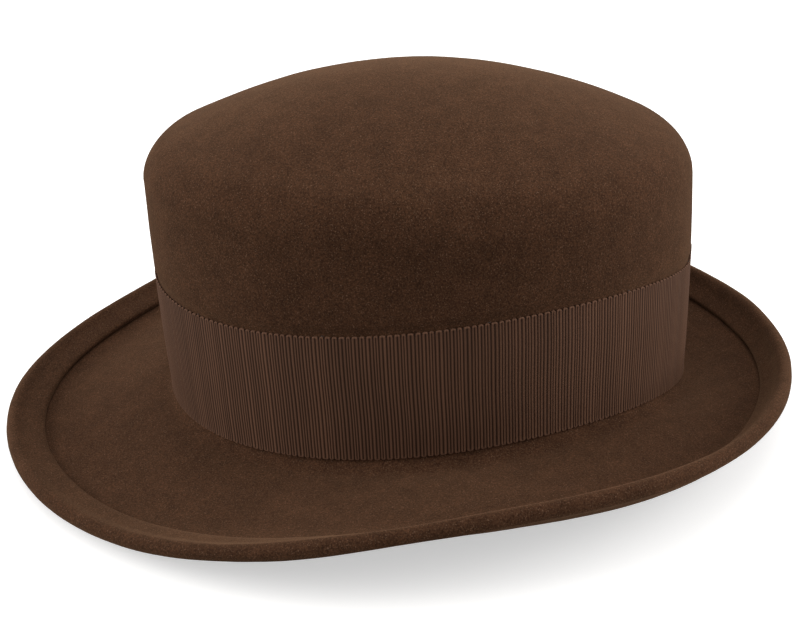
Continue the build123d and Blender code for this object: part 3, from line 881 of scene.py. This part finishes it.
def bow_knot():
    low, top = BOW_LOW + BOW_PINCH - BOW_THICK, BOW_TOP - BOW_PINCH + BOW_THICK
    near, far = 0.36, 3.02
    half_thick, corner_radius = 0.24, 0.62
    samples = 4000

    def path(grow):
        """Box with rounded corners (offset, height), walked at an even pace."""
        half_x, half_y = (far - near) / 2 + grow, (top - low) / 2 + grow
        radius = corner_radius + grow
        arc = math.pi / 2 * radius
        sides = [2 * (half_y - radius), 2 * (half_x - radius)] * 2
        walked = np.linspace(0, sum(sides) + 4 * arc, samples, endpoint=False)
        x, y = np.empty(samples), np.empty(samples)
        start = 0.0
        for k, (sign_x, sign_y) in enumerate([(1, 1), (-1, 1), (-1, -1), (1, -1)]):
            here = (walked >= start) & (walked < start + sides[k] + 1e-9)
            sweep = 2 * (walked[here] - start) / sides[k] - 1
            if k % 2 == 0:
                x[here], y[here] = sign_x * half_x, sign_y * (half_y - radius) * sweep
            else:
                x[here], y[here] = sign_x * (half_x - radius) * sweep, sign_y * half_y
            start += sides[k]
            here = (walked >= start) & (walked < start + arc + 1e-9)
            angle = math.radians(90 * k) + (walked[here] - start) / arc * math.pi / 2
            x[here] = sign_x * (half_x - radius) + radius * np.cos(angle)
            y[here] = sign_y * (half_y - radius) + radius * np.sin(angle)
            start += arc
        return (near + far) / 2 + x, (low + top) / 2 + y
    ribs, ridge, loops, outer, inner_line, normal = ribbed_loop(path, samples, half_thick,
                                                                half_thick)
    width = 2 * KNOT_HALF
    places = np.concatenate([[0, 0.1, 0.25, 0.5, 0.9], np.linspace(1.6, width - 1.6, 13),
                             width - np.array([0.9, 0.5, 0.25, 0.1, 0])])
    front = np.clip((outer[0] - 1.6) / 0.8, 0, 1)       # 1 on the knot's outward face
    outside, inside = [], []
    for place in places:
        depth = min(place, width - place)
        out = ridge + bow_roll(depth)
        fold = 0.14 * np.sin(place / width * math.pi * 5) * front * min(1, depth / 0.8)
        along = -KNOT_HALF + place + scallop(loops, depth, 0.5, lower=place < KNOT_HALF)
        outside.append(on_ribbon(along, outer[0] + normal[0] * out + fold,
                                 outer[1] + normal[1] * out))
        inside.append(on_ribbon(along, *inner_line))
    return ring_mesh("bow_knot_band", outside + inside[::-1], True,
                     uv_grid(ribs, mirrored(places)).transpose(1, 0, 2))


finish_piece(bow_knot(), RIBBON_MAT, "bow_knot")

# --------------------------------------------------------------- threads
STITCH_POINTS = 7
STITCH_SIDES = 8
STITCH_ARCH = np.cos(np.linspace(-1.5, 1.5, STITCH_POINTS))
STITCH_TAPER = np.array([0.25, 0.75, 1.0, 1.0, 1.0, 0.75, 0.25])
SIDE_REFERENCE = np.array([0.13, 0.21, 0.97])       # any direction no stitch runs along


def thread_mesh(name, lines, radius):
    """Many short stitches in one mesh: each is a capsule along a line of points."""
    angles = TAU * np.arange(STITCH_SIDES) / STITCH_SIDES
    cos, sin = np.cos(angles)[None, :, None], np.sin(angles)[None, :, None]
    tubes = []
    for points in lines:
        tangent = np.gradient(points, axis=0)
        tangent /= np.linalg.norm(tangent, axis=1)[:, None]
        side = np.cross(tangent, SIDE_REFERENCE)
        side /= np.linalg.norm(side, axis=1)[:, None]
        other = np.cross(tangent, side)
        spokes = side[:, None] * cos + other[:, None] * sin
        tubes.append(points[:, None] + spokes * (radius * STITCH_TAPER)[:, None, None])
    return tube_mesh(name, tubes)


def ribbon_tacks():
    """Ten short stitches just above the ribbon's upper edge."""
    lines = []
    for i in range(10):
        centre = math.radians(BOW_AT + 36 + i * 32)
        turn = np.linspace(centre - 0.006, centre + 0.006, STITCH_POINTS)
        height = RIBBON_WIDTH + 0.16 + 0.08 * STITCH_ARCH
        offset = CROWN_SKIN + flare(height) + 0.12 + 0.10 * STITCH_ARCH
        lines.append(above_break(turn, offset, height))
    return thread_mesh("ribbon_tacks", lines, radius=0.09)


finish_piece(ribbon_tacks(), DARK_THREAD_MAT, "ribbon_tack_stitches")


# --------------------------------------------------------------- sweatband and its trim
def sweat_lean(height):
    """How far the sweatband leans inward."""
    return np.interp(height, [0, 8, 22, SWEAT_WIDTH], [0, 0, 0.1, 0.6])


def sweatband():
    top = SWEAT_WIDTH
    turn = np.radians(np.linspace(REAR + 0.25, REAR + 359.75, 720))
    heights = [SWEAT_LOW, 2.0, 2.15, 2.6, 4.0, LOWER_SEAM, 5.2, 7.0, 11, 16, 22, 28,
               top - 3.0, top - 1.6, top - 0.7, top - 0.25, top]
    waves = 0.16 * np.sin(turn * 9 + 0.6) + 0.10 * np.sin(turn * 23)
    face, back = [], []
    for height in heights:
        depth = min(height - SWEAT_LOW, top - height)
        rounding = 0.34 * math.exp(-depth / 0.22)
        groove = 0.16 * math.exp(-((height - LOWER_SEAM) / 0.55) ** 2)
        limp = max(0.0, (height - 20) / 16)
        for lines, gap, softness in ((face, SWEAT_FACE - groove - rounding, 1.0),
                                     (back, SWEAT_GAP + rounding, 0.9)):
            offset = (inner(height, gap + sweat_lean(height))
                      - np.maximum(waves * limp * softness, -0.05))
            lines.append(above_break(turn, offset, height))
    return strip_mesh("leather_sweatband", face + back[::-1],
                      uv_grid(turn * 90, heights + heights[::-1]))


finish_piece(sweatband(), LEATHER_MAT, "sweatband")


def lower_stitches():
    """Stitches along the lower edge of the leather."""
    count = 148
    half = math.radians(360.0 / count) * 0.36
    arch = np.cos(np.linspace(-math.pi / 2, math.pi / 2, STITCH_POINTS))
    lines = []
    for i in range(count):
        centre = math.radians(REAR + 3.0) + i * math.radians(354.0 / (count - 1))
        turn = np.linspace(centre - half, centre + half, STITCH_POINTS)
        offset = inner(LOWER_SEAM, SWEAT_FACE - 0.08) - 0.20 * arch
        lines.append(above_break(turn, offset, LOWER_SEAM))
    return thread_mesh("sweatband_lower_stitches", lines, radius=0.17)


finish_piece(lower_stitches(), THREAD_MAT, "sweatband_stitches")


def seam_stitches():
    """Zigzag closing the rear seam."""
    lines = []
    for i in range(20):
        sign = 1 if i % 2 else -1
        turn = np.radians(REAR + sign * np.linspace(-1.0, 1.0, STITCH_POINTS))
        height = 9.5 + i * 1.25 + np.linspace(0, 1.15, STITCH_POINTS)
        offset = inner(height, SWEAT_FACE + 0.10 + sweat_lean(height)) - 0.16 * STITCH_ARCH
        lines.append(above_break(turn, offset, height))
    return thread_mesh("back_seam_stitches", lines, radius=0.15)


finish_piece(seam_stitches(), THREAD_MAT, "sweatband_seam_stitches")


def inside_crown(along, gap, height, centre=REAR):
    """Points along mm from an angle in degrees."""
    turn = math.radians(centre) + along / (OVAL_HALF_WIDTH - 4.0)
    return above_break(turn, inner(height, gap), height)


def small_bow():
    mid = 5.4                           # height of the bow's middle
    loop_gap, knot_gap = SWEAT_FACE + 0.55, SWEAT_FACE + 0.5
    knot_half_length, knot_half_height, knot_half_thick = 1.45, 1.6, 0.72
    tubes = []
    angles = np.linspace(0, TAU, 24, endpoint=False)
    for sign in (1, -1):
        columns = []
        for share in np.linspace(0, 1, 28):
            half_height = 1.2 + 2.25 * math.sin(math.pi * min(1.0, 0.12 + 0.78 * share))
            half_thick = (0.30 + 0.80 * math.sin(math.pi * (0.08 + 0.84 * share)) ** 0.8) / 2
            centre = loop_gap + half_thick
            height = mid + signed_power(np.sin(angles), 0.55) * half_height
            gap = centre + signed_power(np.cos(angles), 0.55) * half_thick
            gap = gap + 0.10 * np.sin((height - mid) * 2.6) * (1 - share) * (gap > centre)
            columns.append(inside_crown(sign * (1.3 + 8.4 * share), gap, height))
        tubes.append(np.array(columns[::sign]))
    angles = np.linspace(0, TAU, 28, endpoint=False)
    columns = []
    for along in np.linspace(-knot_half_length, knot_half_length, 12):
        narrow = 1 - 0.18 * (along / knot_half_length) ** 4
        height = mid + signed_power(np.sin(angles), 0.5) * knot_half_height * narrow
        gap = (knot_gap + knot_half_thick
               + signed_power(np.cos(angles), 0.6) * knot_half_thick * narrow)
        columns.append(inside_crown(along, gap, height))
    tubes.append(np.array(columns))
    points = np.concatenate([tube.reshape(-1, 3) for tube in tubes])
    return tube_mesh("small_inner_bow", tubes, points[:, [0, 2]] * (0.8, 2.0))


finish_piece(small_bow(), RIBBON_MAT, "sweatband_bow")

# The reed, and the tape folded round it
REED_GAP, REED_HEIGHT, REED_RADIUS = 1.15, 0.95, 0.5
TAPE_OUTER, TAPE_INNER = 0.85, 0.62


def reed_arc(radius, angles):
    return [(REED_GAP + radius * math.cos(angle), REED_HEIGHT + radius * math.sin(angle))
            for angle in angles]


def round_sweatband(name, section, clear):
    """Runs a section of (gap, height) round the crown, clear degrees short of the rear."""
    turn = np.radians(np.linspace(REAR + clear, REAR + 360 - clear, 540))
    rows = [above_break(turn, -INNER_WALL - gap, height) for gap, height in section]
    return strip_mesh(name, rows, uv_grid(np.degrees(turn) * 1.5, np.arange(len(section)) * 0.4))


reed_section = reed_arc(REED_RADIUS, np.linspace(0, TAU, 16, endpoint=False))
finish_piece(round_sweatband("reed_cord", reed_section, clear=0.6),
             REED_MAT, "sweatband_reed")
fold_angles = np.radians(np.linspace(156, 480, 19))
tape_section = [(0.22, 6.4), (0.22, 2.4), *reed_arc(TAPE_OUTER, fold_angles),
                *reed_arc(TAPE_INNER, fold_angles[::-1]), (0.46, 2.4), (0.46, 6.4)]
finish_piece(round_sweatband("folded_reed_tape", tape_section, clear=0.4),
             TAPE_MAT, "reed_tape")

# --------------------------------------------------------------- lining
LINING_TURNS = np.linspace(0, TAU, 720, endpoint=False)


def lining_side():
    turn = LINING_TURNS
    pleat = np.abs(np.sin(turn * 44)) ** 0.7

    def layer(gap):
        rings = []
        for height in (8.0, 8.3, 12, 17, 22, 27, 32, 37, 42, 47, 52):
            depth = 0.45 * max(0.0, min(1.0, (height - 36) / 14)) * pleat
            rings.append(above_break(turn, inner(height, gap) - depth, height))
        for share in (0.80, 0.87, 0.95):
            z = wall_z(turn, share)
            rings.append(ring(turn, inner(z - break_z(turn), gap) - 0.5 * pleat, z))
        for reach, extra in ((0.988, 0.5), (0.975, 0.42), (0.955, 0.3), (TIP_REACH + 0.012, 0.1)):
            rings.append(dome_ring(turn, reach, INNER_WALL + gap + extra))
        return rings
    outer, inner_layer = layer(LINING_GAP), layer(LINING_GAP + LINING_THICK)
    across = mirrored(np.arange(len(outer)) * 5.0)
    return ring_mesh("satin_side_lining", outer + inner_layer[::-1], True,
                     uv_grid(turn * 90, across).transpose(1, 0, 2))


finish_piece(lining_side(), SATIN_MAT, "lining_side_band")


def lining_tip():
    reaches = [*np.linspace(0.02, 0.86, 16), 0.885, TIP_REACH - 0.012]
    inset = INNER_WALL + TIP_GAP
    points = np.array([dome_ring(LINING_TURNS, float(reach), inset) for reach in reaches]
                      + [dome_ring(LINING_TURNS, float(reach), inset + LINING_THICK)
                         for reach in reaches[::-1]])
    # the cloth sags unevenly, held at its rim
    sag = smooth_noise(points.reshape(-1, 3) * np.array([1, 1, 0]), size=30.0, amount=0.5, seed=11)
    held = (mirrored(reaches)[:, None] / TIP_REACH) ** 6
    points[:, :, 2] -= np.clip(0.22 + sag.reshape(points.shape[:2]), 0, None) * (1 - held)
    return ring_mesh("satin_tip_lining", points, False, points[:, :, :2])


finish_piece(lining_tip(), SATIN_MAT, "lining_tip")


def lining_piping():
    """Twisted cord over the joint between the side and tip linings."""
    sides = 14
    centre = (dome_ring(LINING_TURNS, TIP_REACH + 0.004, INNER_WALL + 1.0)
              + np.array([0, 0, -0.25]))
    outward = centre[:, :2] / np.linalg.norm(centre[:, :2], axis=1)[:, None]
    rings = []
    for i in range(sides):
        angle = TAU * i / sides
        points = centre.copy()
        radius = 0.50 + 0.035 * np.sin(LINING_TURNS * 260 + angle)
        points[:, :2] += outward * (radius * math.cos(angle))[:, None]
        points[:, 2] += radius * math.sin(angle)
        rings.append(points)
    return ring_mesh("lining_piping_cord", rings, True)


finish_piece(lining_piping(), PIPING_MAT, "lining_piping")


def size_tab():
    centre = REAR + 24
    along = np.linspace(-9, 9, 25)
    heights = np.linspace(26.0, SWEAT_WIDTH + 8.0, 20)
    face = [inside_crown(along, 0.92 - 0.03 * np.cos(along * 0.5), height, centre)
            for height in heights]
    back = [inside_crown(along, 0.70, height, centre) for height in heights[::-1]]
    return strip_mesh("blank_size_tab", face + back)


finish_piece(size_tab(), TAB_MAT, "size_tab")

# CAD pieces kept as they are
for name in ("brim_wire", "brim_wire_joiner"):
    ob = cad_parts[name]
    if ob.material_slots:
        for material_slot in ob.material_slots:
            material_slot.material = WIRE_MAT
    else:
        ob.data.materials.append(WIRE_MAT)

# --------------------------------------------------------------- floor and world
FLOOR_Z = (float(felt_rings[:, :, 2].min()) - 0.15) * MM
FLOOR_HALF = 6.0                        # metres
FLOOR_STRIPS = 4


def build_floor():
    mesh = bpy.data.meshes.new("floor")
    verts = [(x, float(y), FLOOR_Z)
             for y in np.linspace(-FLOOR_HALF, FLOOR_HALF, FLOOR_STRIPS + 1)
             for x in (-FLOOR_HALF, FLOOR_HALF)]
    mesh.from_pydata(verts, [], [(i * 2, i * 2 + 1, i * 2 + 3, i * 2 + 2)
                                 for i in range(FLOOR_STRIPS)])
    floor = bpy.data.objects.new("floor", mesh)
    bpy.context.scene.collection.objects.link(floor)
    # glows pale to the camera, but is a mid grey to all other rays
    m = Mat("pale_floor")
    m.surface({"Base Color": (0.86, 0.86, 0.86), "Roughness": 0.95, "Specular IOR Level": 0.0,
               "Emission Color": (1.0, 1.0, 1.0), "Emission Strength": 0.45})
    grey = m.node("BsdfDiffuse")
    grey.inputs["Color"].default_value = (0.30, 0.30, 0.30, 1.0)
    rays = m.node("LightPath")
    blend = m.node("MixShader")
    m.link(rays.outputs["Is Camera Ray"], blend.inputs[0])
    m.link(grey.outputs[0], blend.inputs[1])
    m.link(m.shader.outputs[0], blend.inputs[2])
    m.link(blend.outputs[0], m.output.inputs[0])
    mesh.materials.append(m.material)


def build_world():
    """White to the camera, dimmer as a light."""
    world = bpy.data.worlds.new("studio")
    bpy.context.scene.world = world
    world.use_nodes = True
    nodes, links = world.node_tree.nodes, world.node_tree.links
    nodes.clear()
    output = nodes.new("ShaderNodeOutputWorld")
    lighting = nodes.new("ShaderNodeBackground")
    backdrop = nodes.new("ShaderNodeBackground")
    rays = nodes.new("ShaderNodeLightPath")
    blend = nodes.new("ShaderNodeMixShader")
    for background, strength in ((lighting, 0.488), (backdrop, 1.0)):
        background.inputs["Color"].default_value = (1, 1, 1, 1)
        background.inputs["Strength"].default_value = strength
    links.new(rays.outputs["Is Camera Ray"], blend.inputs[0])
    links.new(lighting.outputs[0], blend.inputs[1])
    links.new(backdrop.outputs[0], blend.inputs[2])
    links.new(blend.outputs[0], output.inputs[0])


build_floor()
build_world()

# --------------------------------------------------------------- camera and lights
# The camera looks from the +X side, swung by yaw toward -Y, so the rear is at image right
YAW, ELEVATION, ROLL = math.radians(6.0), math.radians(21.3), math.radians(-2.6)
CAMERA_DISTANCE = 564.0
CAMERA_TARGET = Vector((0, 0, 60.8)) * MM
SENSOR_WIDTH, LENS = 36.0, 64.4652
SHIFT_X, SHIFT_Y = -0.03, -0.12625      # shares of the picture's width

toward_camera = Vector((math.cos(YAW) * math.cos(ELEVATION),
                        -math.sin(YAW) * math.cos(ELEVATION), math.sin(ELEVATION)))
forward = -toward_camera
right = forward.cross(Vector((0, 0, 1))).normalized()
up = right.cross(forward)


def build_camera():
    rolled_right = right * math.cos(ROLL) + up * math.sin(ROLL)
    rolled_up = -right * math.sin(ROLL) + up * math.cos(ROLL)
    data = bpy.data.cameras.new("camera")
    camera = bpy.data.objects.new("camera", data)
    bpy.context.scene.collection.objects.link(camera)
    pose = Matrix.Identity(4)
    for i, axis in enumerate((rolled_right, rolled_up, toward_camera)):
        for j in range(3):
            pose[j][i] = axis[j]
    pose.translation = CAMERA_TARGET + toward_camera * (CAMERA_DISTANCE * MM)
    camera.matrix_world = pose
    data.sensor_fit = "HORIZONTAL"
    data.sensor_width = SENSOR_WIDTH
    data.lens = LENS
    data.shift_x = SHIFT_X
    data.shift_y = SHIFT_Y
    data.clip_start = 0.01
    bpy.context.scene.camera = camera


def around(azimuth, elevation, distance):
    """Place by azimuth in the camera's frame: 0 is the camera's side, 90 is image right."""
    near = Vector((math.cos(YAW), -math.sin(YAW), 0))
    side = Vector((right.x, right.y, 0)).normalized()
    azimuth, elevation = math.radians(azimuth), math.radians(elevation)
    level = near * math.cos(azimuth) + side * math.sin(azimuth)
    return (level * (math.cos(elevation) * distance)
            + Vector((0, 0, math.sin(elevation) * distance)))


LIGHT_TARGET = Vector((0, 0, 0.05))     # metres
WARM, NEUTRAL = (1.0, 0.95, 0.88), (1.0, 0.98, 0.96)
# name, azimuth and elevation in degrees, distance and size in metres, watts, colour
SOFTBOXES = (
    ("top", 180, 88, 1.3, 1.4, 4.8, WARM),
    ("topback", 180, 55, 1.5, 1.2, 4.32, WARM),
    ("left", -85, 20, 1.2, 0.9, 10.16, NEUTRAL),
    ("right", 85, 20, 1.2, 0.9, 11.68, NEUTRAL),
    ("front", 0, 45, 1.7, 1.0, 1.4, NEUTRAL),
    ("frontlow", 0, 8, 1.7, 1.0, 3.6, NEUTRAL),
    ("rightback", 130, 35, 1.3, 0.9, 0.96, NEUTRAL),
)


def build_lights():
    for name, azimuth, elevation, distance, size, watts, colour in SOFTBOXES:
        light = bpy.data.lights.new(name + "_softbox", "AREA")
        light.shape = "RECTANGLE"
        light.size = size
        light.size_y = size
        light.energy = watts
        light.color = colour
        ob = bpy.data.objects.new(name + "_softbox", light)
        bpy.context.scene.collection.objects.link(ob)
        place = around(azimuth, elevation, distance)
        ob.location = place
        ob.rotation_euler = (LIGHT_TARGET - place).to_track_quat("-Z", "Y").to_euler()
        ob.visible_camera = False


build_camera()
build_lights()

view = bpy.context.scene.view_settings
view.view_transform = "Standard"
view.look = "None"
view.exposure = 0.0
view.gamma = 1.0
